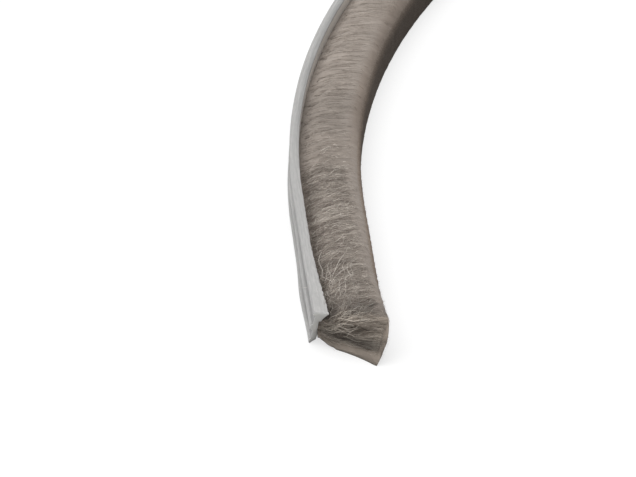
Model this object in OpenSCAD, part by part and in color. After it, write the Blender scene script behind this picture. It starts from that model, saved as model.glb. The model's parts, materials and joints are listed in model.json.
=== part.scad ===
// Brush seal strip: a flexible ribbed backing with a dense fibre pile standing on it.
// It lies on one long edge of its backing and keeps the bend of the coil it was cut from.
// Origin: on the floor, under the middle of the straight stretch at the near cut end.
// +Y runs along that stretch away from the cut, +X from the back to the pile tips,
// +Z across the backing's width.

/* [Strip] */
// Length of the cut strip, along the middle of its backing
strip_length = 1000; // [800:10:1150]
// Straight stretch at the near cut end
straight_length = 42; // [20:1:80]
// Radius that the rest of the strip keeps from its coil, to the middle of its backing
coil_radius = 218; // [190:1:600]

/* [Backing] */
// Width of the backing, its height as it lies
backing_width = 7; // [6:0.1:10]
// Thickness of the backing over its ribs
backing_thickness = 1.6; // [1.4:0.05:2.4]
// Width of the ribs along both edges of the back
edge_rib_width = 0.75; // [0.5:0.05:1]
// Width of the rib down the middle of the back
middle_rib_width = 0.8; // [0.5:0.05:1.2]
// Depth of the two channels between the ribs
channel_depth = 0.4; // [0.2:0.05:0.6]
// How far each side of a channel slopes in
channel_slope = 0.25; // [0.1:0.05:0.4]
// Bevel on the backing's long corners
corner_bevel = 0.15; // [0.05:0.05:0.3]

/* [Pile] */
// Height of the pile above the backing's inner face
pile_height = 10.4; // [6:0.1:14]
// Depth that the pile is set into the backing
seat_depth = 0.3; // [0.1:0.05:0.5]
// Thickness of the pile where it leaves the backing
neck_width = 2.2; // [1.6:0.1:3]
// Thickness of the pile at its tips
tip_width = 6.8; // [4:0.1:7]
// How early the pile opens out, where 1 is evenly all the way up
pile_fullness = 3; // [1:0.1:4]
// Rounding of the pile's upper tip edge
upper_rounding = 2.4; // [0.3:0.1:2.6]
// Rounding of its lower tip edge, which the floor keeps square
lower_rounding = 0.4; // [0.2:0.1:1.2]

/* [Near cut] */
// Slant of the snipped end across the backing's width, in degrees
backing_slant = 19; // [0:1:30]
// How far the end tufts fan out past the cut, in degrees
pile_slant = 22; // [0:1:30]
// How far the lower tufts lean out past the upper ones, in degrees
pile_lean = 31; // [0:1:40]

/* [Hidden] */
$fn = 180;

half_thickness = backing_thickness / 2;
mid_height = backing_width / 2;
spare = backing_thickness + pile_height;

coil_turn = (strip_length - straight_length) / coil_radius * 180 / PI;

side_steps = 7;
corner_steps = 5;

// half the pile's thickness at a height above the backing
function half_pile(h) = neck_width / 2
    + (tip_width - neck_width) / 2 * (1 - pow(1 - h / pile_height, pile_fullness));

// one side of the pile from its neck round its tip edge, as [height, half thickness]
function pile_side(rounding) =
    let (r = min(rounding, 0.4 * tip_width))
    let (start = pile_height - r)
    concat(
        [for (i = [0:side_steps])
            let (h = start * i / side_steps)
            [h, half_pile(h)]],
        [for (i = [1:corner_steps])
            let (a = 90 * i / corner_steps)
            [start + r * sin(a), half_pile(start) - r * (1 - cos(a))]]
    );

// sections are drawn with x out from the middle of the backing and y up its width
module backing_section() {
    difference() {
        backing_outline();
        pile_seat();
    }
}

module backing_outline() {
    rib = half_thickness;
    floor_x = half_thickness - channel_depth;
    b = corner_bevel;
    m = middle_rib_width / 2;
    polygon([
        [-rib + b, 0],
        [half_thickness - b, 0],
        [half_thickness, b],
        [half_thickness, backing_width - b],
        [half_thickness - b, backing_width],
        [-rib + b, backing_width],
        [-rib, backing_width - b],
        [-rib, backing_width - edge_rib_width],
        [-floor_x, backing_width - edge_rib_width - channel_slope],
        [-floor_x, mid_height + m + channel_slope],
        [-rib, mid_height + m],
        [-rib, mid_height - m],
        [-floor_x, mid_height - m - channel_slope],
        [-floor_x, edge_rib_width + channel_slope],
        [-rib, edge_rib_width],
        [-rib, b]
    ]);
}

module pile_seat() {
    translate([half_thickness - seat_depth, mid_height - neck_width / 2])
        square([seat_depth + 1, neck_width]);
}

module pile_section() {
    upper = [for (p = pile_side(upper_rounding)) [half_thickness + p[0], mid_height + p[1]]];
    lower = [for (p = pile_side(lower_rounding)) [half_thickness + p[0], mid_height - p[1]]];
    last = len(lower) - 1;
    polygon(concat(
        [[half_thickness - seat_depth, mid_height + neck_width / 2]],
        upper,
        [for (i = [0:last]) lower[last - i]],
        [[half_thickness - seat_depth, mid_height - neck_width / 2]]
    ));
}

// runs a section along the straight stretch and round the coil's bend
module along_strip() {
    translate([0, straight_length / 2, 0])
        rotate([90, 0, 0])
            linear_extrude(straight_length + spare)
                children();
    translate([coil_radius, straight_length / 2, 0])
        rotate([0, 0, 180])
            rotate_extrude(angle = -coil_turn)
                translate([coil_radius, 0])
                    mirror([1, 0])
                        children();
}

// everything nearer than a plane that faces +Y
module nearer() {
    side = 8 * spare;
    translate([-side / 2, -side, -side / 2])
        cube(side);
}

module backing() {
    color([0.72, 0.71, 0.7])
        difference() {
            along_strip()
                backing_section();
            translate([0, -straight_length / 2, backing_width])
                rotate([backing_slant, 0, 0])
                    nearer();
        }
}

module pile() {
    root_set_back = mid_height * tan(backing_slant);
    color([0.54, 0.51, 0.47])
        difference() {
            along_strip()
                pile_section();
            translate([half_thickness, root_set_back - straight_length / 2, mid_height])
                rotate([-pile_lean, 0, -pile_slant])
                    nearer();
        }
}

backing();
pile();
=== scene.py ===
import bpy
import json
import math
import numpy as np
from mathutils import Matrix, Vector

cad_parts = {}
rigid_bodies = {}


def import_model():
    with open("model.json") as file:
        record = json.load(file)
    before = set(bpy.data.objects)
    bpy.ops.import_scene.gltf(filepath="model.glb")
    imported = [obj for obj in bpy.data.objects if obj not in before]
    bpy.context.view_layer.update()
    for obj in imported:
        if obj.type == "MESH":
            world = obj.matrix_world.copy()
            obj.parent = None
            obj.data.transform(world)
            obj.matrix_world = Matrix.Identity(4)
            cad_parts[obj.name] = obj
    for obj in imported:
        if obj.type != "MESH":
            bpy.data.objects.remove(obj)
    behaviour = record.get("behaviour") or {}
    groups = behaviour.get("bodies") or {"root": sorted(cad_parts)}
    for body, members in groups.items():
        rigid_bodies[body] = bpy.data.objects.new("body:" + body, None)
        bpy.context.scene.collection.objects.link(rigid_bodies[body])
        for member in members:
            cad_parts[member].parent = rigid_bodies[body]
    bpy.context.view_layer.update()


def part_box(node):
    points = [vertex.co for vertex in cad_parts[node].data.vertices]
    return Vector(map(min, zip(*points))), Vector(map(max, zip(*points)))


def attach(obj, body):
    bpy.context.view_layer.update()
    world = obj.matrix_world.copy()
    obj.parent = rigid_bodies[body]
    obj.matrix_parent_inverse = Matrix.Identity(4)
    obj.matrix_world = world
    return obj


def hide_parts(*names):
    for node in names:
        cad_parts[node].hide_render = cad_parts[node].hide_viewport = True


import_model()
scene = bpy.context.scene
scene.view_settings.view_transform = "Standard"

mm = 0.001


# small helpers

def put(tree, kind, inputs=None, **settings):
    # adds a node; an input's value is either a number or the socket it is fed from
    node = tree.nodes.new(kind)
    for name, value in settings.items():
        setattr(node, name, value)
    for key, value in (inputs or {}).items():
        socket = node.inputs[key]
        if isinstance(value, bpy.types.NodeSocket):
            tree.links.new(value, socket)
        else:
            socket.default_value = value
    return node


def maths(tree, operation, a, b=None):
    inputs = {0: a} if b is None else {0: a, 1: b}
    return put(tree, "ShaderNodeMath", inputs, operation=operation).outputs[0]


def vectors(tree, operation, a, b=None):
    inputs = {0: a} if b is None else {0: a, 1: b}
    return put(tree, "ShaderNodeVectorMath", inputs, operation=operation).outputs["Vector"]


def product(tree, first, *others):
    for value in others:
        first = maths(tree, "MULTIPLY", first, value)
    return first


def total(tree, first, *others):
    for value in others:
        first = maths(tree, "ADD", first, value)
    return first


def scaled(tree, vector, amount):
    node = put(tree, "ShaderNodeVectorMath", {0: vector, "Scale": amount}, operation="SCALE")
    return node.outputs["Vector"]


def fade(tree, value, start, end, low=0.0, high=1.0):
    # smooth step from low to high while the value goes from start to end
    node = put(tree, "ShaderNodeMapRange",
               {"Value": value, "From Min": start, "From Max": end, "To Min": low, "To Max": high},
               interpolation_type="SMOOTHSTEP")
    return node.outputs["Result"]


def noise(tree, x, y, z, detail=2.0, roughness=0.5):
    # 0 to 1, about 0.5 in the middle; x, y and z are each a value, or a value with its factor
    axes = [product(tree, *axis) if isinstance(axis, tuple) else axis for axis in (x, y, z)]
    place = put(tree, "ShaderNodeCombineXYZ", {"X": axes[0], "Y": axes[1], "Z": axes[2]}).outputs[0]
    node = put(tree, "ShaderNodeTexNoise",
               {"Vector": place, "Scale": 1.0, "Detail": detail, "Roughness": roughness})
    return node.outputs[0]


def swing(tree, value, amount):
    # turns 0 to 1 into minus amount to plus amount
    return product(tree, maths(tree, "SUBTRACT", value, 0.5), 2 * amount)


def blend(tree, amount, first, second):
    # a colour between two others
    inputs = {"Factor": amount, 6: first, 7: second}
    return put(tree, "ShaderNodeMix", inputs, data_type="RGBA").outputs[2]


def colourRamp(tree, value, stops):
    # stops are pairs of position and colour, from low to high
    node = put(tree, "ShaderNodeValToRGB", {"Fac": value})
    elements = node.color_ramp.elements
    if len(stops) > 2:
        elements.new(0.5)
    for element, (position, colour) in zip(elements, stops):
        element.position = position
        element.color = colour
    return node.outputs[0]


def newObject(name, data):
    thing = bpy.data.objects.new(name, data)
    scene.collection.objects.link(thing)
    return thing


def newMesh(name, places, edges, faces):
    mesh = bpy.data.meshes.new(name)
    mesh.from_pydata([tuple(p) for p in places], edges, [tuple(f) for f in faces])
    mesh.update()
    return mesh


def floatAttribute(mesh, name, values):
    layer = mesh.attributes.new(name, "FLOAT", "POINT")
    layer.data.foreach_set("value", np.asarray(values, np.float32))


def vectorAttribute(mesh, name, values):
    layer = mesh.attributes.new(name, "FLOAT_VECTOR", "POINT")
    layer.data.foreach_set("vector", np.asarray(values, np.float32).ravel())


def readFloats(mesh, name):
    out = np.zeros(len(mesh.vertices), np.float32)
    mesh.attributes[name].data.foreach_get("value", out)
    return out.astype(float)


def readPlaces(mesh):
    out = np.zeros(len(mesh.vertices) * 3, np.float32)
    mesh.vertices.foreach_get("co", out)
    return out.reshape(-1, 3).astype(float)


def bake(thing, name, keep):
    # what the modifiers make becomes a plain mesh that keeps only the named attributes
    depsgraph = bpy.context.evaluated_depsgraph_get()
    mesh = bpy.data.meshes.new_from_object(thing.evaluated_get(depsgraph), depsgraph=depsgraph)
    mesh.name = name
    old = thing.data
    thing.modifiers.clear()
    thing.data = mesh
    if old.users == 0:
        bpy.data.meshes.remove(old)
    extra = [a.name for a in mesh.attributes
             if not a.is_required and not a.is_internal and a.name not in keep
             and a.data_type in ("FLOAT", "FLOAT_VECTOR", "INT", "QUATERNION", "BOOLEAN")
             and not a.name.startswith("sharp")]
    for label in extra:
        mesh.attributes.remove(mesh.attributes[label])
    return mesh


def addTree(thing, tree, values):
    # the modifier's inputs are set by identifier before anything is evaluated
    modifier = thing.modifiers.new(tree.name, "NODES")
    modifier.node_group = tree
    for item in tree.interface.items_tree:
        if item.item_type == "SOCKET" and item.in_out == "INPUT" and item.name in values:
            modifier[item.identifier] = values[item.name]


def newTree(name, sockets, floats):
    # sockets gives the kind of each input that isn't a plain number
    tree = bpy.data.node_groups.new(name, "GeometryNodeTree")
    tree.is_modifier = True
    for label, kind in {"Geometry": "Geometry", **sockets, **dict.fromkeys(floats, "Float")}.items():
        tree.interface.new_socket(label, in_out="INPUT", socket_type="NodeSocket" + kind)
    tree.interface.new_socket("Geometry", in_out="OUTPUT", socket_type="NodeSocketGeometry")
    return tree, tree.nodes.new("NodeGroupInput").outputs


def named(tree, name, kind="FLOAT"):
    node = put(tree, "GeometryNodeInputNamedAttribute", {"Name": name}, data_type=kind)
    return next(s for s in node.outputs if s.enabled and s.name == "Attribute")


def randomNumber(tree, low, high, seed):
    inputs = {2: low, 3: high, "Seed": seed}
    return put(tree, "FunctionNodeRandomValue", inputs, data_type="FLOAT").outputs[1]


def newMaterial(name):
    material = bpy.data.materials.new(name)
    material.use_nodes = True
    material.node_tree.nodes.clear()
    return material, material.node_tree


def attribute(tree, name):
    return put(tree, "ShaderNodeAttribute", attribute_name=name).outputs["Fac"]


def placesInMm(tree):
    # distance along the strip, distance out of the backing and height
    place = put(tree, "ShaderNodeTexCoord").outputs["Object"]
    z = put(tree, "ShaderNodeSeparateXYZ", {0: place}).outputs["Z"]
    return [product(tree, value, 1 / mm) for value in (attribute(tree, "along"), attribute(tree, "out"), z)]


# camera

camera = {
    "place": (-91.5 * mm, -928.9 * mm, 495.8 * mm),
    "heading": 5.73,  # degrees to the right of +Y
    "down": 27.54,
    "roll": 3.15,
    "lens": 367.9,
    "sensor": 36.0,
    "nearest": 0.05,
    "farthest": 60,
}


def makeCamera(c):
    data = bpy.data.cameras.new("camera")
    data.lens = c["lens"]
    data.sensor_width = c["sensor"]
    data.clip_start = c["nearest"]
    data.clip_end = c["farthest"]
    cam = newObject("camera", data)
    turn = (Matrix.Rotation(math.radians(-c["heading"]), 4, "Z")
            @ Matrix.Rotation(math.radians(90 - c["down"]), 4, "X")
            @ Matrix.Rotation(math.radians(c["roll"]), 4, "Z"))
    cam.matrix_world = Matrix.Translation(c["place"]) @ turn
    scene.camera = cam
    print("camera placed")


makeCamera(camera)


# light and floor

studio = {
    "skyLevel": 0.5,
    "keyLevel": 2.1,
    "keyFrom": (-0.4, 0.0, 0.95),
    "keySoftness": 80,
    "floorSize": 6.0,
    "floorDepth": 0.02 * mm,
    "floorShade": 0.3,
    "floorSeen": 0.35,  # what the camera sees of the floor: this much lit, and the rest always white
    "floorGlow": 0.68,
}


def seenStraight(tree):
    # 1 for what the camera sees, straight or in a reflection or through something clear
    path = put(tree, "ShaderNodeLightPath").outputs
    either = maths(tree, "MAXIMUM", path["Is Camera Ray"], path["Is Glossy Ray"])
    return maths(tree, "MAXIMUM", either, path["Is Transmission Ray"])


def makeStudio(s):
    world = bpy.data.worlds.new("studio")
    scene.world = world
    world.use_nodes = True
    tree = world.node_tree
    tree.nodes.clear()
    sky = put(tree, "ShaderNodeBackground", {"Color": (1, 1, 1, 1), "Strength": s["skyLevel"]})
    white = put(tree, "ShaderNodeBackground", {"Color": (1, 1, 1, 1), "Strength": 1.0})
    mix = put(tree, "ShaderNodeMixShader",
              {0: seenStraight(tree), 1: sky.outputs[0], 2: white.outputs[0]})
    put(tree, "ShaderNodeOutputWorld", {"Surface": mix.outputs[0]})

    sun = bpy.data.lights.new("key", "SUN")
    sun.energy = s["keyLevel"]
    sun.angle = math.radians(s["keySoftness"])
    lamp = newObject("key", sun)
    lamp.rotation_mode = "QUATERNION"
    lamp.rotation_quaternion = Vector(s["keyFrom"]).to_track_quat("Z", "Y")
    makeFloor(s)
    print("studio lit")


def makeFloor(s):
    half, z = s["floorSize"] / 2, -s["floorDepth"]
    corners = [(-half, -half, z), (half, -half, z), (half, half, z), (-half, half, z)]
    mesh = newMesh("floor", corners, [], [(0, 1, 2, 3)])
    floor = newObject("floor", mesh)
    material, tree = newMaterial("floor")
    lit = put(tree, "ShaderNodeBsdfDiffuse", {"Color": (s["floorSeen"],) * 3 + (1,)})
    glow = put(tree, "ShaderNodeEmission", {"Color": (1, 1, 1, 1), "Strength": s["floorGlow"]})
    seen = put(tree, "ShaderNodeAddShader", {0: lit.outputs[0], 1: glow.outputs[0]})
    unseen = put(tree, "ShaderNodeBsdfDiffuse", {"Color": (s["floorShade"],) * 3 + (1,)})
    mix = put(tree, "ShaderNodeMixShader",
              {0: seenStraight(tree), 1: unseen.outputs[0], 2: seen.outputs[0]})
    put(tree, "ShaderNodeOutputMaterial", {"Surface": mix.outputs[0]})
    mesh.materials.append(material)


makeStudio(studio)


# the line that the strip follows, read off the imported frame

backLow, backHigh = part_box("backing")
strip = {
    "halfThick": -backLow.x,
    "width": backHigh.z,
    "radius": (backHigh.x + backLow.x) / 2,
    "length": 1000 * mm,
}
strip["straight"] = 2 * (backHigh.y - strip["radius"] - strip["halfThick"])


def alongStrip(s):
    # middle of the backing at distance s from the near cut
    straight, radius = strip["straight"], strip["radius"]
    turn = np.maximum(s - straight, 0) / radius
    x = radius * (1 - np.cos(turn))
    y = np.minimum(s, straight) - straight / 2 + radius * np.sin(turn)
    return np.stack([x, y, np.zeros_like(s)], axis=1)


def stations(steps):
    # distances along the strip, where steps is a list of (up to, spacing)
    marks = [0.0]
    for end, spacing in steps:
        count = round((end - marks[-1]) / spacing)
        marks += list(np.linspace(marks[-1], end, count + 1)[1:])
    return np.array(marks)


def pathObject(name, marks):
    places = alongStrip(marks)
    edges = [(i, i + 1) for i in range(len(marks) - 1)]
    return newObject(name, newMesh(name, places, edges, []))


def ringObject(name, ring, extras):
    # ring is a list of (x, z), drawn clockwise; the sweep turns a profile's +Y downwards
    count = len(ring)
    mesh = newMesh(name, [(x, -z, 0) for x, z in ring],
                   [(i, (i + 1) % count) for i in range(count)], [])
    for label, values in extras.items():
        floatAttribute(mesh, label, values)
    return newObject(name, mesh)


def finishTree(tree, geometry, material):
    # every tree ends in real geometry with its material
    geometry = put(tree, "GeometryNodeRealizeInstances", {"Geometry": geometry}).outputs[0]
    geometry = put(tree, "GeometryNodeSetMaterial", {"Geometry": geometry, "Material": material}).outputs[0]
    tree.links.new(geometry, tree.nodes.new("NodeGroupOutput").inputs[0])


def store(tree, geometry, name, value, domain="POINT"):
    inputs = {"Geometry": geometry, "Name": name, "Value": value}
    return put(tree, "GeometryNodeStoreNamedAttribute", inputs, data_type="FLOAT", domain=domain).outputs[0]


def shift(tree, geometry, offset):
    return put(tree, "GeometryNodeSetPosition", {"Geometry": geometry, "Offset": offset}).outputs[0]


def sweepNodes(tree, path, profile):
    # carries the profile along the path and stores how far along each ring is
    curve = put(tree, "GeometryNodeMeshToCurve", {"Mesh": path}).outputs[0]
    curve = put(tree, "GeometryNodeSetCurveNormal", {"Curve": curve}, mode="Z_UP").outputs[0]
    length = put(tree, "GeometryNodeSplineParameter").outputs["Length"]
    curve = store(tree, curve, "along", length)
    ring = put(tree, "GeometryNodeObjectInfo", {"Object": profile}).outputs["Geometry"]
    ring = put(tree, "GeometryNodeMeshToCurve", {"Mesh": ring}).outputs[0]
    return put(tree, "GeometryNodeCurveToMesh", {"Curve": curve, "Profile Curve": ring}).outputs[0]


# backing: ribbed plastic

backing = {
    "edgeRib": 0.75 * mm,
    "middleRib": 0.8 * mm,
    "channelDepth": 0.4 * mm,
    "channelSlope": 0.25 * mm,
    "cornerRadius": 0.22 * mm,
    "seatDepth": 0.3 * mm,
    "seatWidth": 2.2 * mm,
    "wobble": 0.05 * mm,
    "wobblePitch": 11 * mm,
    "sharpAngle": 35,
    # the near end, as the snip left it
    "cutLength": 8 * mm,
    "cutSlant": 0.31,  # how far it is set back for each mm down
    "footSetBack": 1.0 * mm,  # and how much more at the foot of its inner face
    "footThinning": 0.4 * mm,
    "topForward": (0.4 * mm, 1.0 * mm),  # how far its upper edge stands out, at the back and inside
    "pinchLength": 23 * mm,
    "pinch": 1.2 * mm,  # how far the upper inner edge is pushed over
    "backShare": 0.38,  # and how much of that the back takes
    "lean": 0.34 * mm,  # how far the back leans out further on
    "leanAt": 17 * mm,
    "leanSpan": 8 * mm,
    "wavyEdge": 0.09 * mm,
}
plastic = {
    "greys": [(0.34, (0.32, 0.316, 0.31, 1)), (0.66, (0.482, 0.475, 0.464, 1))],
    "innerFaceLit": (0.66, 0.63, 0.595, 1),  # painted light and painted bounce: the inner face is kept light and takes on the pile's colour
    # painted light on the cut face, for light through the plastic; the cut also whitens it
    "cutFaceLitAndWhitened": (0.86, 0.85, 0.82, 1),
    "channelFrom": (0.06, 0.1),  # a channel's two sides, as shares of the width from its middle
    "channelTo": (0.34, 0.39),
    # each fade is from, to, value before and value after; those along the strip are in metres
    "channelShade": (0.01, 0.06, 0.32, 0.2),
    # painted shade: the back is darker than the top face
    "backShade": (0.0, 0.3, 0.91, 0.98),
    "nearPaintedLight": (0.0, 0.035, 1.08, 1.0),  # painted light: paler towards the near cut, fading out over 35 mm
    # painted shade on the inner part of the top face and on the inner face, further along
    "farInsideShade": (0.035, 0.08, 1.0, 0.7),
    "roughness": (0.3, 0.7, 0.34, 0.52),
    "dents": (0.01, 0.05, 2.2, 0.3),
    "bump": 0.5,
    "bumpDepth": 0.06 * mm,
}


def backingSection(b):
    # a height, the back's x and the inner face's x, for each height that the section needs
    half, width, mid = strip["halfThick"], strip["width"], strip["width"] / 2
    r, slope, m, seat = b["cornerRadius"], b["channelSlope"], b["middleRib"] / 2, b["seatWidth"] / 2
    sharp = 0.02 * mm  # between the two points of the seat's sharp corners
    corner = [r * (1 - math.cos(math.radians(a))) for a in (0, 22, 45, 67, 90)]
    marks = corner + [b["edgeRib"], b["edgeRib"] + slope / 2, b["edgeRib"] + slope, 1.7 * mm,
                      mid - seat - sharp, mid - seat,
                      mid - m - slope, mid - m - slope / 2, mid - m]
    marks = marks + [mid] + [width - z for z in reversed(marks)]
    pairs = []
    for z in marks:
        edge = min(z, width - z)
        inset = r - math.sqrt(max(r * r - max(r - edge, 0) ** 2, 0))
        fromRib = max(abs(z - mid) - m, 0) if abs(z - mid) < 1.5 * mm else max(edge - b["edgeRib"], 0)
        depth = b["channelDepth"] * min(fromRib / slope, 1)
        seated = b["seatDepth"] if abs(z - mid) < seat + sharp / 4 else 0
        pairs.append((z, -half + inset + depth, half - inset - seated))
    return pairs


def backingTree(b):
    tree, given = newTree("sweepBacking", {"Profile": "Object", "Material": "Material"}, ["Wobble"])
    swept = sweepNodes(tree, given["Geometry"], given["Profile"])
    wave = noise(tree, (named(tree, "along"), 1 / b["wobblePitch"]), (named(tree, "up"), 1.4), 3.0)
    side = product(tree, swing(tree, wave, 1.0), given["Wobble"])
    moved = shift(tree, swept, put(tree, "ShaderNodeCombineXYZ", {"X": side}).outputs[0])
    finishTree(tree, moved, given["Material"])
    return tree


def backingMaterial(p):
    material, tree = newMaterial("backingPlastic")
    along, up, face = (attribute(tree, name) for name in ("along", "up", "face"))
    across = total(tree, product(tree, up, 9.0), product(tree, face, 5.0))
    lengthwise = noise(tree, (along, 120.0), across, 0.0, 3.0, 0.6)
    mottle = noise(tree, (along, 520.0), across, 4.0, 3.0, 0.6)
    both = total(tree, product(tree, lengthwise, 0.6), product(tree, mottle, 0.4))
    # painted shade down the two channels
    fromMiddle = maths(tree, "ABSOLUTE", maths(tree, "SUBTRACT", up, 0.5))
    channel = product(tree, fade(tree, fromMiddle, *p["channelFrom"]),
                      fade(tree, fromMiddle, *p["channelTo"], 1.0, 0.0),
                      maths(tree, "LESS_THAN", face, 0.5))
    # painted shade on the back and, further along, on the inner side; painted light towards the near cut
    shade = product(tree, fade(tree, face, *p["backShade"]), fade(tree, along, *p["nearPaintedLight"]),
                    fade(tree, face, 0.2, 1.0, 1.0, fade(tree, along, *p["farInsideShade"])))
    channel = product(tree, channel, fade(tree, along, *p["channelShade"]))
    colour = scaled(tree, colourRamp(tree, both, p["greys"]), maths(tree, "SUBTRACT", shade, channel))
    # painted light on the inner face below its top, tinted with the pile's colour
    inner = product(tree, fade(tree, face, 0.9, 1.0), fade(tree, up, 0.93, 0.985, 1.0, 0.0))
    colour = blend(tree, inner, colour, p["innerFaceLit"])
    # the cut face is paler: painted light, and whitening from the cut
    colour = blend(tree, attribute(tree, "cut"), colour, p["cutFaceLitAndWhitened"])
    dents = noise(tree, (along, 900.0), (face, 2.0), 8.0, 3.0, 0.6)
    dents = product(tree, dents, fade(tree, along, *p["dents"]))
    bump = put(tree, "ShaderNodeBump", {
        "Height": total(tree, both, dents), "Strength": p["bump"], "Distance": p["bumpDepth"]})
    skin = put(tree, "ShaderNodeBsdfPrincipled", {
        "Base Color": colour, "Roughness": fade(tree, mottle, *p["roughness"]), "IOR": 1.47,
        "Subsurface Weight": 0.4, "Subsurface Radius": (1, 1, 1), "Subsurface Scale": 0.8 * mm,
        "Normal": bump.outputs[0]})
    put(tree, "ShaderNodeOutputMaterial", {"Surface": skin.outputs[0]})
    return material


def snipEnd(places, along, face, b):
    # slants the near end back, pinches its upper inner edge over and leans the back out further on
    z, s, top = places[:, 2], along / mm, strip["width"]
    near = np.clip(1 - along / b["cutLength"], 0, 1)
    outside, inside = b["topForward"]
    setBack = (top - z) * b["cutSlant"] + face * (1 - z / top) ** 2 * b["footSetBack"]
    setBack -= (outside + (inside - outside) * face) * np.clip((z - 5 * mm) / (2 * mm), 0, 1)
    places[:, 1] += setBack * near
    places[:, 0] -= b["footThinning"] * near * face * np.clip(1 - z / (3 * mm), 0, 1)

    pinch = np.clip(1 - along / b["pinchLength"], 0, 1) ** 1.25
    lip = np.clip((z - 4 * mm) / (3 * mm), 0, 1) ** 1.5
    places[:, 0] += b["pinch"] * pinch * lip * (b["backShare"] + (1 - b["backShare"]) * face)
    lean = np.exp(-((along - b["leanAt"]) / b["leanSpan"]) ** 2)
    places[:, 0] -= b["lean"] * lean * np.clip(1.1 - z / (5 * mm), 0, 1)
    wavy = np.sin(s * 2.3 + np.sin(s * 0.9) * 2) * 0.6 + np.sin(s * 4.9 + 1) * 0.4
    edge = face * np.clip(z / mm - 6, 0, 1) * np.clip(1.3 - s / 50, 0, 1)
    places[:, 0] += b["wavyEdge"] * wavy * edge


def makeBacking(b):
    pairs = backingSection(b)
    count = len(pairs)
    ring = [(back, z) for z, back, face in pairs] + [(face, z) for z, back, face in reversed(pairs)]
    profile = ringObject("backingProfile", ring, {
        "up": [z / strip["width"] for x, z in ring], "face": [0.0] * count + [1.0] * count})
    marks = stations([(10 * mm, 0.3 * mm), (40 * mm, 0.5 * mm), (60 * mm, 1.0 * mm), (180 * mm, 2.0 * mm),
                      (strip["length"], 4.0 * mm)])
    piece = pathObject("backingStrip", marks)
    material = backingMaterial(plastic)
    addTree(piece, backingTree(b), {"Profile": profile, "Material": material, "Wobble": b["wobble"]})
    mesh = bake(piece, "backingStrip", ("along", "up", "face"))
    places = readPlaces(mesh)
    along, up, face = (readFloats(mesh, name) for name in ("along", "up", "face"))
    snipEnd(places, along, face, b)

    size, rings = 2 * count, len(marks)
    last = (rings - 1) * size  # the last ring's first vertex, and how many faces are swept
    faces = sweptFaces(rings, size) + capFaces(count, size, 0, False) + capFaces(count, size, last, True)
    finished = newMesh("backingStrip", places, [], faces)
    for label, values in (("along", along), ("up", up), ("face", face)):
        floatAttribute(finished, label, values)
    cut = np.zeros(len(faces), np.float32)
    cut[last:last + count - 1] = 1
    finished.attributes.new("cut", "FLOAT", "FACE").data.foreach_set("value", cut)
    finishPiece(piece, finished, material, profile)
    finished.set_sharp_from_angle(angle=math.radians(b["sharpAngle"]))
    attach(piece, "root")
    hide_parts("backing")
    print("backing swept,", len(finished.polygons), "faces")


def sweptFaces(rings, size):
    faces = []
    for r in range(rings - 1):
        a, b = r * size, (r + 1) * size
        for k in range(size):
            n = (k + 1) % size
            faces.append((a + k, a + n, b + n, b + k))
    return faces


def capFaces(count, size, first, far):
    # quads across the section, from the back side to the same height on the inner side
    faces = []
    for k in range(count - 1):
        quad = (first + k, first + size - 1 - k, first + size - 2 - k, first + k + 1)
        faces.append(tuple(reversed(quad)) if far else quad)
    return faces


def finishPiece(piece, finished, material, profile):
    # the finished mesh takes the place of the swept one
    swept = piece.data
    finished.shade_smooth()
    finished.materials.append(material)
    piece.data = finished
    bpy.data.meshes.remove(swept)
    dropHelper(profile)


def dropHelper(thing):
    data = thing.data
    bpy.data.objects.remove(thing)
    bpy.data.meshes.remove(data)


makeBacking(backing)


# pile: the body that the fibres stand for

pile = {
    "height": 10.4 * mm,
    "seat": 0.28 * mm,
    "neck": 2.16 * mm,
    "tip": 6.8 * mm,
    "fullness": 4.5,
    "upperRounding": 2.6 * mm,
    "lowerRounding": 0.3 * mm,
    "sideSteps": 18,
    "cornerSteps": 6,
    "tipSteps": 10,
    "tuftPitch": 3.1 * mm,
    "grooveDepth": 0.6 * mm,
    "clumpDepth": 0.34 * mm,
    "strandDepth": 0.05 * mm,
    "frizzDepth": 0.3 * mm,
    "cutStreakShade": 1.0,  # how deep the painted shade of the near cut's dark streak is
    "tipProud": 0.3 * mm,  # makes up for what the relief takes off the tips
    "fanLength": 7 * mm,
    "squareLength": 16 * mm,
    "squareShare": 0.8,  # how square the rounded tip edge is at the cut
    "splay": 0.6 * mm,
    "flop": 0.9 * mm,  # how far the lower tufts sink at the cut
    "tuckIn": 1.8 * mm,  # how far the lowest tips at the cut stay back
    "floorGap": 0.02 * mm,
    "cutRoughness": 0.35 * mm,
}
# the pile's relief, in mm
relief = {
    # how fast each one changes for each mm along and each mm out, and its detail
    "drift": (0.12, 0.08, 2.0),
    "clump": (0.8, 0.16, 2.0),
    "strand": (2.6, 0.22, 3.0),
    "frizz": (0.9, 0.7, 3.0),
    "gaps": (0.35, 0.0, 2.0),
    "driftWidth": 2.6,
    # each fade is from, to, value before and value after
    "grooveGaps": (0.35, 0.6),
    "grooveOut": (2.2, 7.0, 1.0, 0.12),
    "strandAlong": (45.0, 110.0, 1.0, 0.45),
    "frizzAlong": (14.0, 75.0, 1.0, 0.1),
    "rootsOut": (0.1, 1.2),
    "undersideUp": (1.5, 4.5, 0.4, 1.0),  # the floor presses the underside smooth
}
# where the fibres grow; in mm apart from the lengths along the strip
combing = {
    "reach": 10.45,  # how far out a fibre may go
    "roundedLoss": 1.6,  # and how much less where the tip edge is rounded
    "leastRoom": 0.5,
    "roomUp": 1.3,  # at the cut, the room for a fibre grows this much for each mm over the floor
    "roomLost": 0.3,
    "streakAt": 2.9,  # the dark streak across the cut
    "streakFall": 0.08,
    "streakWidth": 0.75,
    "thinStreak": 0.75,
    "thinGrooves": 0.6,
    "bareUnder": 8 * mm,
    "bareBelow": 2.6,
    "topFrom": 4.5,
    "topOut": 8.2,
    "endFrom": 1.4,
    "rootsFrom": 2.9,
    "rootsOut": 3.5,
    "messLength": 34 * mm,
    "curlLength": 60 * mm,
}
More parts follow.
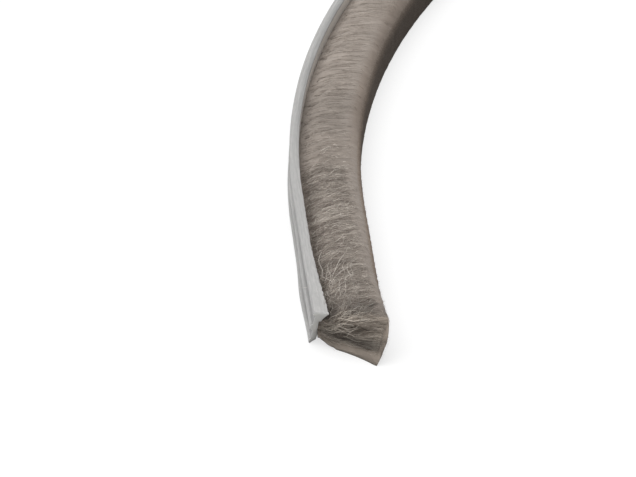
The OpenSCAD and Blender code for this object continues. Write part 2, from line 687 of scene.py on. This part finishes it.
# the face of the near cut, in mm
nearCut = {
    "height": 6.9,
    "bottomRoot": 1.0,  # how far back the lowest roots stay
    "bottomReach": 5.4,  # and how much nearer the lowest tips come
    "bottomSpan": 9.1,
    "bottomCurve": 1.3,
    "topRoot": -0.3,
    "topReach": 1.0,
    "topSpan": 2.5,
    "bow": 0.5,
    "dent": 1.0,
    "dentAt": 4.7,
    "dentWidth": 0.7,
    "rootDent": 0.9,
    "rootSpan": 3.0,
}


def pileSide(p, r):
    # one side of the section as (height out of the backing, half thickness)
    def half(h):
        grown = 1 - (1 - h / p["height"]) ** p["fullness"]
        return p["neck"] / 2 + (p["tip"] - p["neck"]) / 2 * grown
    last = p["height"] - r
    points = [(-p["seat"], p["neck"] / 2)]
    for i in range(p["sideSteps"]):
        h = last * (i / (p["sideSteps"] - 1)) ** 1.25
        points.append((h, half(h)))
    for i in range(1, p["cornerSteps"] + 1):
        a = math.pi / 2 * i / p["cornerSteps"]
        points.append((last + r * math.sin(a), half(last) - r * (1 - math.cos(a))))
    return points


def pileRing(p):
    # clockwise from the lower corner of the base; squareOut and squareUp are how far each point
    # of a rounded tip edge moves to make that edge square, as it is at the near cut
    steps, mid, base = p["tipSteps"], strip["width"] / 2, strip["halfThick"]
    ring, square = [], []

    def add(h, z, toSquare=(0.0, 0.0)):
        ring.append((h, z))
        square.append(toSquare)

    def squared(side, r, i, sign):
        last, top = side[-1][0] - r, side[-1][1] + r
        across, up = (side[i][0] - last) / r, (side[i][1] - side[-1][1]) / r
        if across < 1e-6 or up < 1e-6:
            return 0.0, 0.0
        grow = 1 / max(across, up)
        return across * r * (grow - 1), sign * up * r * (grow - 1)

    upper, lower = pileSide(p, p["upperRounding"]), pileSide(p, p["lowerRounding"])
    for j in range(steps):
        add(upper[0][0], -upper[0][1] + 2 * upper[0][1] * j / steps)
    for i in range(len(upper) - 1):
        add(*upper[i], squared(upper, p["upperRounding"], i, 1))
    for j in range(steps):
        t = j / steps
        add(upper[-1][0] + (lower[-1][0] - upper[-1][0]) * t, upper[-1][1] * (1 - t) - lower[-1][1] * t)
    for i in range(len(lower) - 1, 0, -1):
        add(lower[i][0], -lower[i][1], squared(lower, p["lowerRounding"], i, -1))
    out = [h for h, z in ring]
    tipFace = [min(max((h - p["height"] + 1.0 * mm) / (0.9 * mm), 0), 1) for h in out]
    return [(base + h, mid + z) for h, z in ring], {
        "out": out, "tipFace": tipFace,
        "squareOut": [a for a, b in square], "squareUp": [b for a, b in square]}


def pileTree(r):
    tree, given = newTree("sweepPile", {"Profile": "Object", "Material": "Material"}, [
        "Tuft pitch", "Groove depth", "Clump depth", "Strand depth", "Frizz depth", "Tip proud"])
    swept = sweepNodes(tree, given["Geometry"], given["Profile"])
    along, out = (product(tree, named(tree, name), 1 / mm) for name in ("along", "out"))
    place = put(tree, "GeometryNodeInputPosition").outputs[0]
    z = product(tree, put(tree, "ShaderNodeSeparateXYZ", {0: place}).outputs["Z"], 1 / mm)

    def uneven(kind):
        alongRate, outRate, detail = r[kind]
        return noise(tree, (along, alongRate), (out, outRate), z, detail)

    # grooves between the tufts, with gaps
    drifted = total(tree, along, swing(tree, uneven("drift"), r["driftWidth"]))
    phase = maths(tree, "DIVIDE", drifted, given["Tuft pitch"])
    wave = maths(tree, "ABSOLUTE", maths(tree, "SINE", product(tree, phase, math.pi * mm)))
    valley = maths(tree, "POWER", maths(tree, "SUBTRACT", 1.0, wave), 3.0)
    gaps = fade(tree, uneven("gaps"), *r["grooveGaps"])
    hollow = product(tree, valley, product(tree, fade(tree, out, *r["grooveOut"]), gaps))
    swept = store(tree, swept, "hollow", hollow)
    groove = product(tree, hollow, given["Groove depth"])

    clump = product(tree, uneven("clump"), given["Clump depth"])
    strand = product(tree, uneven("strand"), given["Strand depth"], fade(tree, along, *r["strandAlong"]))
    frizz = product(tree, uneven("frizz"), given["Frizz depth"], fade(tree, along, *r["frizzAlong"]))
    sunk = total(tree, total(tree, groove, clump), total(tree, strand, frizz))
    sunk = product(tree, sunk, fade(tree, out, *r["rootsOut"]), fade(tree, z, *r["undersideUp"]))
    proud = product(tree, named(tree, "tipFace"), given["Tip proud"])
    normal = put(tree, "GeometryNodeInputNormal").outputs[0]
    away = scaled(tree, normal, maths(tree, "SUBTRACT", proud, sunk))
    finishTree(tree, shift(tree, swept, away), given["Material"])
    return tree


def endReach(out, z, c):
    # how far back the face of the near cut lies, in mm, where minus is nearer than the cut
    up = np.clip(z / c["height"], 0, 1)
    share = np.clip(out, 0, None) / c["bottomSpan"]
    bottom = c["bottomRoot"] - c["bottomReach"] * share ** c["bottomCurve"]
    top = c["topRoot"] - c["topReach"] * np.clip(out / c["topSpan"], 0, 1)
    reach = top * up + bottom * (1 - up) - c["bow"] * np.sin(np.pi * up) * out / 10
    dent = c["dent"] * np.exp(-((z - c["dentAt"]) / c["dentWidth"]) ** 2)
    reach += dent * np.clip(out / 2, 0, 1) * np.clip((10 - out) / 1.5, 0, 1)
    reach += c["rootDent"] * np.exp(-(out / c["rootSpan"]) ** 2) * np.sin(np.pi * up) ** 2
    return reach


def fanEnd(places, along, out, squareOut, squareUp, p):
    # the last few millimetres splay past the cut, most of all the lower tips
    squareness = np.clip(1 - along / p["squareLength"], 0, 1)
    places[:, 0] += squareOut * (p["squareShare"] * squareness)
    places[:, 2] += squareUp * (p["squareShare"] * squareness)
    out = out + squareOut * (p["squareShare"] * squareness)
    near = np.clip(1 - along / p["fanLength"], 0, 1) ** 1.5
    places[:, 2] -= p["flop"] * np.clip(3.5 - places[:, 2] / mm, 0, 1) * near
    z = places[:, 2] / mm
    places[:, 1] += endReach(out / mm, z, nearCut) * mm * near
    low = np.clip(1 - z / nearCut["height"], 0, 1) ** 1.5
    tipward = np.clip(out / p["height"], 0, 1) ** 2
    places[:, 0] -= p["tuckIn"] * low * tipward * near
    places[:, 0] += p["splay"] * np.clip(z / 3.5, 0, 1) * tipward * squareness ** 2
    return out


def makePileBody(p):
    ring, extras = pileRing(p)
    profile = ringObject("pileProfile", ring, extras)
    marks = stations([(50 * mm, 0.3 * mm), (160 * mm, 0.5 * mm), (strip["length"], 1.8 * mm)])
    piece = pathObject("pileBody", marks)
    material = pileMaterial(pileLook)
    addTree(piece, pileTree(relief), {
        "Profile": profile, "Material": material, "Tuft pitch": p["tuftPitch"],
        "Groove depth": p["grooveDepth"], "Clump depth": p["clumpDepth"],
        "Strand depth": p["strandDepth"], "Frizz depth": p["frizzDepth"], "Tip proud": p["tipProud"]})
    kept = ("along", "out", "tipFace", "hollow", "squareOut", "squareUp")
    mesh = bake(piece, "pileBody", kept)
    places = readPlaces(mesh)
    along, out, tipFace, hollow, squareOut, squareUp = (readFloats(mesh, name) for name in kept)
    out = fanEnd(places, along, out, squareOut, squareUp, p)
    places[:, 2] = np.clip(places[:, 2], p["floorGap"], None)
    values = {"along": along, "out": out, "tipFace": tipFace, "hollow": hollow}

    # each end is closed by a grid between the lower and upper sides
    size, rings = len(ring), len(marks)
    rows, columns = p["tipSteps"], p["sideSteps"] + p["cornerSteps"]
    faces = sweptFaces(rings, size)
    grids = []
    for first, far in ((0, False), ((rings - 1) * size, True)):
        grid = endGrid(first, rows, columns, len(places))
        added, outs = endPlaces(grid, places, values["out"])
        if not far:
            x, z = outs / mm, added[:, 2] / mm
            added[:, 1] = -strip["straight"] / 2 + endReach(x, z, nearCut) * mm
            added[:, 1] += p["cutRoughness"] * cutStreaks(x, z)
        places = np.concatenate([places, added])
        plain = np.zeros(len(added))
        distance = strip["length"] if far else 0
        fills = {"along": plain + distance, "out": outs, "tipFace": plain, "hollow": plain}
        values = {name: np.concatenate([values[name], fill]) for name, fill in fills.items()}
        for i in range(columns):
            for j in range(rows):
                quad = (grid[i, j], grid[i + 1, j], grid[i + 1, j + 1], grid[i, j + 1])
                faces.append(tuple(reversed(quad)) if far else quad)
        grids.append(grid)

    lie = lieDirections(places, values["tipFace"], rings, size, rows, columns, grids)
    endFace = np.zeros(len(places))
    endFace[rings * size:] = 1
    for grid in grids:
        endFace[grid[1:, 1:-1]] = 1

    finished = newMesh("pileBody", places, [], faces)
    for label, numbers in growth(p, combing, places[:, 2] / mm, values, endFace).items():
        floatAttribute(finished, label, numbers)
    vectorAttribute(finished, "lie", lie)
    finishPiece(piece, finished, material, profile)
    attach(piece, "root")
    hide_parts("pile")
    print("pile body swept,", len(finished.polygons), "faces")
    return piece


def endGrid(first, rows, columns, free):
    # vertex numbers over one end, by steps out from the base and up from the lower side
    grid = np.zeros((columns + 1, rows + 1), int)
    grid[0, :] = first + np.arange(rows + 1)
    grid[:, rows] = first + rows + np.arange(columns + 1)
    grid[columns, :] = first + rows + columns + np.arange(rows, -1, -1)
    grid[1:, 0] = first + 2 * rows + columns + np.arange(columns)[::-1]
    grid[0, 0] = first
    inner = (columns - 1, rows - 1)
    grid[1:columns, 1:rows] = free + np.arange(inner[0] * inner[1]).reshape(inner)
    return grid


def endPlaces(grid, places, out):
    rows = grid.shape[1] - 1
    lower, upper, steps = grid[1:-1, 0], grid[1:-1, rows], np.arange(1, rows)
    added = places[lower][:, None] + (places[upper] - places[lower])[:, None] * (steps / rows)[:, None]
    outs = out[lower][:, None] * (1 - steps / rows) + out[upper][:, None] * steps / rows
    return added.reshape(-1, 3), outs.ravel()


def growth(p, c, z, values, endFace):
    # where each piece of fibres grows, and how long they may be
    along, out, tipFace = values["along"], values["out"], values["tipFace"]
    x = out / mm
    squareness = np.clip(1 - along / p["squareLength"], 0, 1)
    rounded = (z > 4) * (1 - p["squareShare"] * squareness) * (1 - endFace)
    room = np.maximum(c["reach"] - c["roundedLoss"] * rounded - x, c["leastRoom"])
    overFloor = np.maximum(c["roomUp"] * z - c["roomLost"], c["leastRoom"])
    room = np.where(endFace > 0, np.minimum(room, overFloor), room) * mm
    fromStreak = (z - (c["streakAt"] - c["streakFall"] * x)) / c["streakWidth"]
    streak = np.exp(-fromStreak ** 2) * np.clip((x - 0.4) / 1, 0, 1) * np.clip((9.6 - x) / 1.5, 0, 1)
    # painted shade: the dark streak across the cut darkens the colour through hollow
    hollow = np.maximum(values["hollow"], p["cutStreakShade"] * streak * endFace)

    side = (1 - tipFace) * (1 - endFace)
    shown = np.clip(out / (0.6 * mm), 0, 1)
    underCut = (along < c["bareUnder"]) * (z < c["bareBelow"])
    onTop = shown * (1 - endFace) * (z > c["topFrom"]) * (x < c["topOut"])
    messy = np.clip(1 - along / c["messLength"], 0, 1) * (z > c["topFrom"]) * np.clip((9.6 - x) / 2, 0.12, 1)
    return {
        "along": along, "out": out, "tipFace": tipFace, "endFace": endFace, "hollow": hollow, "room": room,
        "upperMask": np.clip((x - 0.8) / 1.5, 0, 1) * side * (z > 3.5),
        "lowerMask": shown * side * (z < 3.5),
        "sideMask": shown * side * (1 - c["thinGrooves"] * hollow) * (1 - underCut),
        "tipMask": tipFace * (1 - endFace),
        "endMask": endFace * (z > c["endFrom"]) * (1 - c["thinStreak"] * streak),
        "endRoots": endFace * (x < c["rootsOut"]) * (z > c["rootsFrom"]),
        "topMask": onTop, "curlMask": onTop * np.clip(1.2 - along / c["curlLength"], 0, 1),
        "mess": messy}


def cutStreaks(x, z):
    # streaks that run from base to tips over the cut end
    return (np.sin(z * 5.1 + x * 0.35 + 0.6 * np.sin(x * 0.9)) * 0.5
            + np.sin(z * 9.3 - x * 0.5 + 1.3 * np.sin(x * 0.7 + z)) * 0.35
            + np.sin(z * 2.2 + x * 0.8) * 0.3)


def ahead(points, reach=2.6 * mm):
    # steps from each point to the one that lies about that far on, so that fibres bend with the surface
    run = np.concatenate([[0], np.cumsum(np.linalg.norm(np.diff(points[-1], axis=0), axis=1))])
    last = len(run) - 1
    target = np.minimum(np.maximum(np.searchsorted(run, run + reach), np.arange(last + 1) + 1), last)
    return (points[:, target] - points)[:, :-1]


def unit(vectors):
    return vectors / np.maximum(np.linalg.norm(vectors, axis=-1, keepdims=True), 1e-9)


def lieDirections(places, tipFace, rings, size, rows, columns, grids):
    # from the base towards the tips, following the surface, and straight out of the tip face
    swept = places[:rings * size].reshape(rings, size, 3)
    lie = np.zeros_like(swept)
    top = slice(rows, rows + columns + 1)
    lie[:, rows:rows + columns] = ahead(swept[:, top])
    under = [0] + list(range(size - 1, 2 * rows + columns - 1, -1))
    lie[:, under[:-1]] = ahead(swept[:, under])
    outward = swept[:, rows + columns - 2] - swept[:, rows + 2]
    outward[:, 2] = 0
    for k in list(range(1, rows)) + list(range(rows + columns, 2 * rows + columns + 1)):
        lie[:, k] = outward
    tips = tipFace[:rings * size].reshape(rings, size, 1)
    lie = unit(lie) * (1 - tips) + unit(outward)[:, None] * tips
    lie = np.concatenate([lie.reshape(-1, 3), np.zeros((len(places) - rings * size, 3))])
    for grid in grids:
        inner = grid[1:-1, 1:-1]
        lie[inner] = places[grid[2:, 1:-1]] - places[inner]
    return unit(lie)


pileLook = {
    "taupes": [(0.34, (0.277, 0.238, 0.207, 1)), (0.68, (0.4, 0.348, 0.306, 1))],
    "fibres": [(0.0, (0.224, 0.191, 0.163, 1)), (0.5, (0.44, 0.382, 0.334, 1)),
               (1.0, (0.92, 0.86, 0.78, 1))],
    "shadow": (0.03, 0.018, 0.01, 1),  # at the roots and deep between the tufts
    "tipShadeBrown": (0.25, 0.197, 0.158),  # painted shade, in brown, on the tips seen end on
    "warmCut": (1.01, 1.0, 0.97),  # the fibres at the near cut are a little warmer
    # each fade is from, to, value before and value after, with lengths in mm
    "softer": (45.0, 110.0),  # where single strands stop showing
    # painted shade: the next few mix the shadow colour in at the roots, in the grooves and a little over the
    # near part
    "bodyShadeAlong": (60.0, 112.0, 0.84, 1.0),
    "bodyRootShade": (0.2, 2.0),
    "fibreRootShade": (0.2, 2.2),
    "rootShadeAlong": (35.0, 75.0, 0.72, 1.0),
    "grooves": (0.1, 0.9, 1.0, 0.4),
    "faceAlong": (1.0, 16.0, 0.2, 0.85),  # how much painted shade the tip face gets, and its rounded edge
    "edgeAlong": (45.0, 80.0, 0.1, 0.6),
    "edgeFrom": (104.0, 120.0, 7.2, 4.4),  # how far out that edge begins to take the painted shade
    "edgeTo": 10.2,
    # painted shade: darker towards the floor, and darker further along the strip
    "tipShadeUp": (3.4, 6.8, 0.36, 1.0),
    "tipShadeAlong": (40.0, 115.0, 1.6, 0.66),
    "speckle": (0.3, 0.7, 0.7, 1.3),
    "warmAlong": (0.3, 3.0, 1.0, 0.0),
    "cutUp": (2.5, 5.0, 0.95, 1.2),
    "cutLow": (1.2, 2.4, 1.2),
    "cutDepth": (0.1, 0.6),
    "pastCut": (0.5, 6.0, 0.58, 1.0),
    "dipStart": (63.0, 68.0),  # a darker stretch where the bend begins
    "dipEnd": (78.0, 84.0, 1.0, 0.0),
    "dip": 0.12,
}


def lengthShade(tree, along, z, look):
    # a little darker by the cut and where the bend begins
    cut = fade(tree, z, *look["cutLow"], fade(tree, z, *look["cutUp"]))
    near = fade(tree, along, *look["cutDepth"], cut, fade(tree, along, *look["pastCut"]))
    dip = product(tree, fade(tree, along, *look["dipStart"]), fade(tree, along, *look["dipEnd"]))
    dip = maths(tree, "SUBTRACT", 1.0, product(tree, dip, look["dip"]))
    return product(tree, near, dip)


def tipSpeckle(tree, along, z):
    return noise(tree, (along, 4.5), (z, 3.5), 0.0, 3.0, 0.65)


def endOn(tree, colour, look):
    # paints shade in brown on the tips seen end on, darker near the floor and further along, and returns how
    # much of each place is such tips
    along, out, z = placesInMm(tree)
    edge = fade(tree, out, fade(tree, along, *look["edgeFrom"]), look["edgeTo"])
    edge = product(tree, fade(tree, along, *look["edgeAlong"]), edge)
    tipFace = attribute(tree, "tipFace")
    face = fade(tree, tipFace, 0.0, 1.0, 0.0, fade(tree, along, *look["faceAlong"]))
    tips = maths(tree, "MAXIMUM", face, edge)
    level = product(tree, fade(tree, z, *look["tipShadeUp"]), fade(tree, along, *look["tipShadeAlong"]))
    colour = blend(tree, tips, colour, scaled(tree, look["tipShadeBrown"], level))
    grain = fade(tree, tipFace, 0.0, 1.0, 1.0, fade(tree, tipSpeckle(tree, along, z), *look["speckle"]))
    shaded = scaled(tree, colour, product(tree, grain, lengthShade(tree, along, z, look)))
    warm = vectors(tree, "MULTIPLY", shaded, look["warmCut"])
    return blend(tree, fade(tree, along, *look["warmAlong"]), shaded, warm), tips


def fibreSkin(tree, colour, tips, roughness, gloss, sheen, extra):
    skin = put(tree, "ShaderNodeBsdfPrincipled", {
        "Base Color": colour, "Roughness": roughness,
        "Specular IOR Level": fade(tree, tips, 0.0, 1.0, gloss, 0.05),
        "Sheen Weight": fade(tree, tips, 0.0, 0.6, sheen, 0.0), **extra})
    put(tree, "ShaderNodeOutputMaterial", {"Surface": skin.outputs[0]})


def pileMaterial(look):
    material, tree = newMaterial("pileFibre")
    along, out, z = placesInMm(tree)
    strands = noise(tree, (along, 3.4), (out, 0.3), (z, 1.2), 4.0, 0.62)
    broad = noise(tree, (along, 0.5), (out, 0.16), (z, 0.3), 2.0)
    fine = fade(tree, along, *look["softer"], 0.55, 0.3)
    both = total(tree, product(tree, strands, fine),
                 product(tree, broad, maths(tree, "SUBTRACT", 1.0, fine)))
    # painted shade towards the shadow colour at the roots, in the grooves and a little over the near part
    roots = fade(tree, out, *look["bodyRootShade"], fade(tree, along, *look["rootShadeAlong"]), 1.0)
    deep = fade(tree, attribute(tree, "hollow"), *look["grooves"])
    level = product(tree, roots, fade(tree, along, *look["bodyShadeAlong"]), deep)
    colour = blend(tree, level, look["shadow"], colourRamp(tree, both, look["taupes"]))
    colour, tips = endOn(tree, colour, look)
    ends = product(tree, tipSpeckle(tree, along, z), attribute(tree, "tipFace"))
    bump = put(tree, "ShaderNodeBump", {
        "Height": total(tree, strands, ends), "Strength": fade(tree, along, *look["softer"], 0.5, 0.25),
        "Distance": 0.25 * mm})
    fibreSkin(tree, colour, tips, 0.85, 0.25, 0.15, {"Sheen Roughness": 0.5, "Normal": bump.outputs[0]})
    return material


pileBody = makePileBody(pile)


# fibres combed over the pile

def hairMesh(name, length, radius, rings, arch, sway, curl):
    # closed three-sided tube that goes up Z, arched to +X and bending off to Y
    places, reach = [], []
    for i in range(rings):
        t = i / (rings - 1)
        x = arch * math.sin(math.pi * t)
        y = sway * t * t + curl * math.sin(2.2 * math.pi * t)
        r = radius * (1 - 0.55 * t * t)  # thinner towards its tip
        for k in range(3):
            a = 2 * math.pi * k / 3
            places.append((x + r * math.cos(a), y + r * math.sin(a), length * t))
            reach.append(t)
    faces = [(2, 1, 0), (3 * rings - 3, 3 * rings - 2, 3 * rings - 1)]
    for i in range(rings - 1):
        a, b = 3 * i, 3 * i + 3
        for k in range(3):
            n = (k + 1) % 3
            faces.append((a + k, a + n, b + n, b + k))
    mesh = newMesh(name, places, [], faces)
    mesh.shade_smooth()
    floatAttribute(mesh, "reach", reach)
    return mesh


def hairShapes(name, h):
    # a few bends of the same fibre to pick among
    group = bpy.data.collections.new(name)
    scene.collection.children.link(group)
    for i, bend in enumerate(h["bends"]):
        mesh = hairMesh(name + str(i), h["length"], h["radius"], h["rings"], *(part * mm for part in bend))
        group.objects.link(bpy.data.objects.new(name + str(i), mesh))
    return group


def dropShapes(group):
    for thing in list(group.objects):
        dropHelper(thing)
    bpy.data.collections.remove(group)


def combTree():
    tree, given = newTree("combFibres", {
        "Shapes": "Collection", "Material": "Material", "Mask": "String", "Seed": "Int", "Lean": "Vector"}, [
        "From", "To", "Density", "Shape length", "Free room", "Shortest", "Longest",
        "Sink", "Lift", "Spread", "Mess", "Darkest", "Lightest"])
    along = named(tree, "along")
    inside = product(tree, maths(tree, "GREATER_THAN", along, given["From"]),
                     maths(tree, "LESS_THAN", along, given["To"]))
    density = product(tree, named(tree, given["Mask"]), inside, given["Density"])
    spots = put(tree, "GeometryNodeDistributePointsOnFaces",
                {"Mesh": given["Geometry"], "Density": density, "Seed": given["Seed"]})
    normal = spots.outputs["Normal"]

    # each fibre heads the way that the pile lies there, more or less
    spread = put(tree, "FunctionNodeRandomValue", {0: (-1, -1, -0.6), 1: (1, 1, 0.35), "Seed": 3},
                 data_type="FLOAT_VECTOR").outputs[0]
    amount = total(tree, given["Spread"], product(tree, named(tree, "mess"), given["Mess"]))
    heading = named(tree, "lie", "FLOAT_VECTOR")
    for part in (scaled(tree, normal, given["Lift"]), scaled(tree, spread, amount), given["Lean"]):
        heading = vectors(tree, "ADD", heading, part)
    heading = vectors(tree, "NORMALIZE", heading)
    turn = put(tree, "FunctionNodeAlignRotationToVector", {"Vector": heading}, axis="Z").outputs[0]
    turn = put(tree, "FunctionNodeAlignRotationToVector", {"Rotation": turn, "Vector": normal},
               axis="X", pivot_axis="Z").outputs[0]

    # and is as long as there is room for
    room = total(tree, named(tree, "room"), given["Free room"])
    room = maths(tree, "DIVIDE", room, given["Shape length"])
    size = maths(tree, "MINIMUM", randomNumber(tree, given["Shortest"], given["Longest"], 5), room)
    size = put(tree, "ShaderNodeCombineXYZ", {0: size, 1: size, 2: size}).outputs[0]

    back = scaled(tree, heading, product(tree, given["Sink"], -1.0))
    shapes = put(tree, "GeometryNodeCollectionInfo",
                 {"Collection": given["Shapes"], "Separate Children": True, "Reset Children": True})
    hairs = put(tree, "GeometryNodeInstanceOnPoints",
                {"Points": shift(tree, spots.outputs["Points"], back), "Instance": shapes.outputs[0],
                 "Pick Instance": True, "Rotation": turn, "Scale": size}).outputs[0]

    place = put(tree, "GeometryNodeInputPosition").outputs[0]
    z = put(tree, "ShaderNodeSeparateXYZ", {0: place}).outputs["Z"]
    tone = noise(tree, (along, 0.55 / mm), (named(tree, "out"), 0.2 / mm), (z, 0.3 / mm), 3.0)
    tone = total(tree, product(tree, tone, 0.7), product(tree, randomNumber(tree, 0.0, 1.0, 7), 0.3))
    tone = fade(tree, tone, 0.3, 0.7, given["Darkest"], given["Lightest"])
    finishTree(tree, store(tree, hairs, "shade", tone, "INSTANCE"), given["Material"])
    return tree


def fibreMaterial(look):
    material, tree = newMaterial("looseFibre")
    along, out, z = placesInMm(tree)
    # painted shade: the fibres go towards the shadow colour at their roots and in the grooves
    roots = fade(tree, out, *look["fibreRootShade"], fade(tree, along, *look["rootShadeAlong"]), 1.0)
    level = product(tree, roots, fade(tree, attribute(tree, "hollow"), *look["grooves"]))
    tone = colourRamp(tree, attribute(tree, "shade"), look["fibres"])
    colour, tips = endOn(tree, blend(tree, level, look["shadow"], tone), look)
    fibreSkin(tree, colour, tips, 0.55, 0.4, 0.1, {})
    return material


fibre = {
    "length": 4 * mm,
    "radius": 0.035 * mm,
    "rings": 4,
    # arch, sway and curl of each shape, in mm
    "bends": [(0.12, 0.1, 0), (0.2, -0.25, 0.05), (0.08, 0.4, 0), (0.25, 0.0, -0.06),
              (0.15, -0.5, 0.04), (0.1, 0.2, 0.08)],
}
longHair = {
    "length": 6 * mm,
    "radius": 0.048 * mm,
    "rings": 8,
    "bends": [(0.3, 0.9, 0.25), (0.4, -1.2, 0.2), (0.2, 1.6, -0.3), (0.4, -0.5, 0.35), (0.3, 2.2, 0.15),
              (0.2, -0.2, 0.1), (0.3, -2.0, -0.4), (0.15, 0.4, 0.5)],
}
tuft = {
    "length": 5 * mm,
    "radius": 0.07 * mm,
    "rings": 3,
    "bends": [(0.12, 0.15, 0), (0.16, -0.3, 0), (0.08, 0.45, 0), (0.18, 0.0, 0), (0.1, -0.55, 0)],
}
wavy = {
    "length": 2.8 * mm,
    "radius": 0.035 * mm,
    "rings": 4,
    "bends": [(0.22, 0.4, 0.12), (0.15, -0.5, 0.15), (0.26, 0.1, -0.2), (0.2, -0.25, 0.2),
              (0.1, 0.7, -0.1), (0.26, -0.8, 0.1)],
}
curl = {
    "length": 1.7 * mm,
    "radius": 0.05 * mm,
    "rings": 6,
    "bends": [(0.2, 0.9, 0.3), (0.3, -1.0, 0.3), (0.15, 0.5, -0.45), (0.35, 1.3, 0.2), (0.2, -0.4, 0.5)],
}
stub = {
    "length": 1.3 * mm,
    "radius": 0.045 * mm,
    "rings": 2,
    "bends": [(0, 0.1, 0), (0, -0.15, 0), (0.1, 0.05, 0)],
}

# each piece of fibres: its shape, what it grows on and its own values. Start and end are mm along
# the strip, density is per square mm, sink and free room are mm, and the sizes are shares of the shape
firstSeed = 11
usualFibre = dict(lift=0.02, mess=0.0, shortest=0.55, longest=1.1, sink=0.05, free=0.0, lean=(0, 0, 0))
fibrePieces = {
    "fibresNear": dict(shape="wavy", mask="sideMask", start=-1, end=20, density=21,
                       lift=0.04, spread=0.15, mess=0.75, tones=(0.05, 0.8)),
    "fibresMiddle": dict(shape="wavy", mask="sideMask", start=20, end=52, density=14,
                         lift=0.03, spread=0.16, mess=0.75, tones=(0.08, 0.76)),
    "fibresFar": dict(shape="fibre", mask="sideMask", start=52, end=170, density=2.6,
                      spread=0.09, tones=(0.36, 0.58)),
    "fibresRest": dict(shape="tuft", mask="upperMask", start=170, end=1001, density=1.3,
                       spread=0.1, tones=(0.3, 0.62)),
    "fibresUnder": dict(shape="tuft", mask="lowerMask", start=170, end=1001, density=0.35,
                        lift=0.0, spread=0.08, tones=(0.3, 0.62)),
    "fibreTips": dict(shape="stub", mask="tipMask", start=-1, end=1001, density=1.1,
                      lift=0.0, spread=0.25, mess=0.1, tones=(0.2, 0.7), sink=1.25, free=9),
    "fibresAtCut": dict(shape="fibre", mask="endMask", start=-1, end=12, density=38,
                        lift=0.05, spread=0.12, mess=0.1, lean=(0, 0, 0.12), tones=(0.1, 0.85)),
    "fibresAtFarCut": dict(shape="fibre", mask="endMask", start=990, end=1001, density=24,
                           lift=0.03, spread=0.1, tones=(0.1, 0.75)),
    "strayHairs": dict(shape="longHair", mask="topMask", start=-1, end=16, density=0.5, spread=0.5,
                       mess=0.3, lean=(-0.65, 1.1, 0.05), free=0.8, tones=(0.6, 0.95), loose=True),
    "curls": dict(shape="curl", mask="curlMask", start=-1, end=72, density=2.4,
                  lift=0.1, spread=0.7, mess=0.6, tones=(0.4, 0.92)),
    "strayHairsAtCut": dict(shape="longHair", mask="endRoots", start=-1, end=12, density=6.5,
                            lift=0.25, spread=0.25, lean=(0, 0, 0.56), free=4, longest=1.0,
                            tones=(0.6, 0.95), loose=True),
}


def makeFibres(body, pieces):
    tree = combTree()
    material = fibreMaterial(pileLook)
    shapes = {"fibre": fibre, "tuft": tuft, "wavy": wavy, "longHair": longHair, "curl": curl, "stub": stub}
    groups = {name: hairShapes(name, shape) for name, shape in shapes.items()}
    for number, (name, own) in enumerate(pieces.items()):
        f = {**usualFibre, **own}
        piece = newObject(name, body.data)
        addTree(piece, tree, {
            "Shapes": groups[f["shape"]], "Material": material, "Mask": f["mask"],
            "From": f["start"] * mm, "To": f["end"] * mm, "Density": f["density"] / mm ** 2,
            "Seed": firstSeed + number, "Shape length": shapes[f["shape"]]["length"],
            "Free room": f["free"] * mm, "Shortest": f["shortest"], "Longest": f["longest"],
            "Sink": f["sink"] * mm, "Lift": f["lift"], "Spread": f["spread"], "Mess": f["mess"],
            "Lean": f["lean"], "Darkest": f["tones"][0], "Lightest": f["tones"][1]})
        mesh = bake(piece, name, ("shade", "reach", "out", "along", "tipFace", "hollow"))
        mesh.materials.clear()
        mesh.materials.append(material)
        if "loose" in f:  # these stand clear of the pile, so they don't get its painted shade at the roots and in the grooves
            count = len(mesh.vertices)
            for label, value in (("out", 5 * mm), ("hollow", 0.0)):
                mesh.attributes[label].data.foreach_set("value", np.full(count, value, np.float32))
        places = readPlaces(mesh)
        places[:, 2] = np.maximum(places[:, 2], 0.01 * mm)  # none goes through the floor
        mesh.vertices.foreach_set("co", places.astype(np.float32).ravel())
        mesh.update()
        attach(piece, "root")
        mesh.calc_loop_triangles()
        print(name, len(mesh.loop_triangles), "triangles")
    for group in groups.values():
        dropShapes(group)


makeFibres(pileBody, fibrePieces)
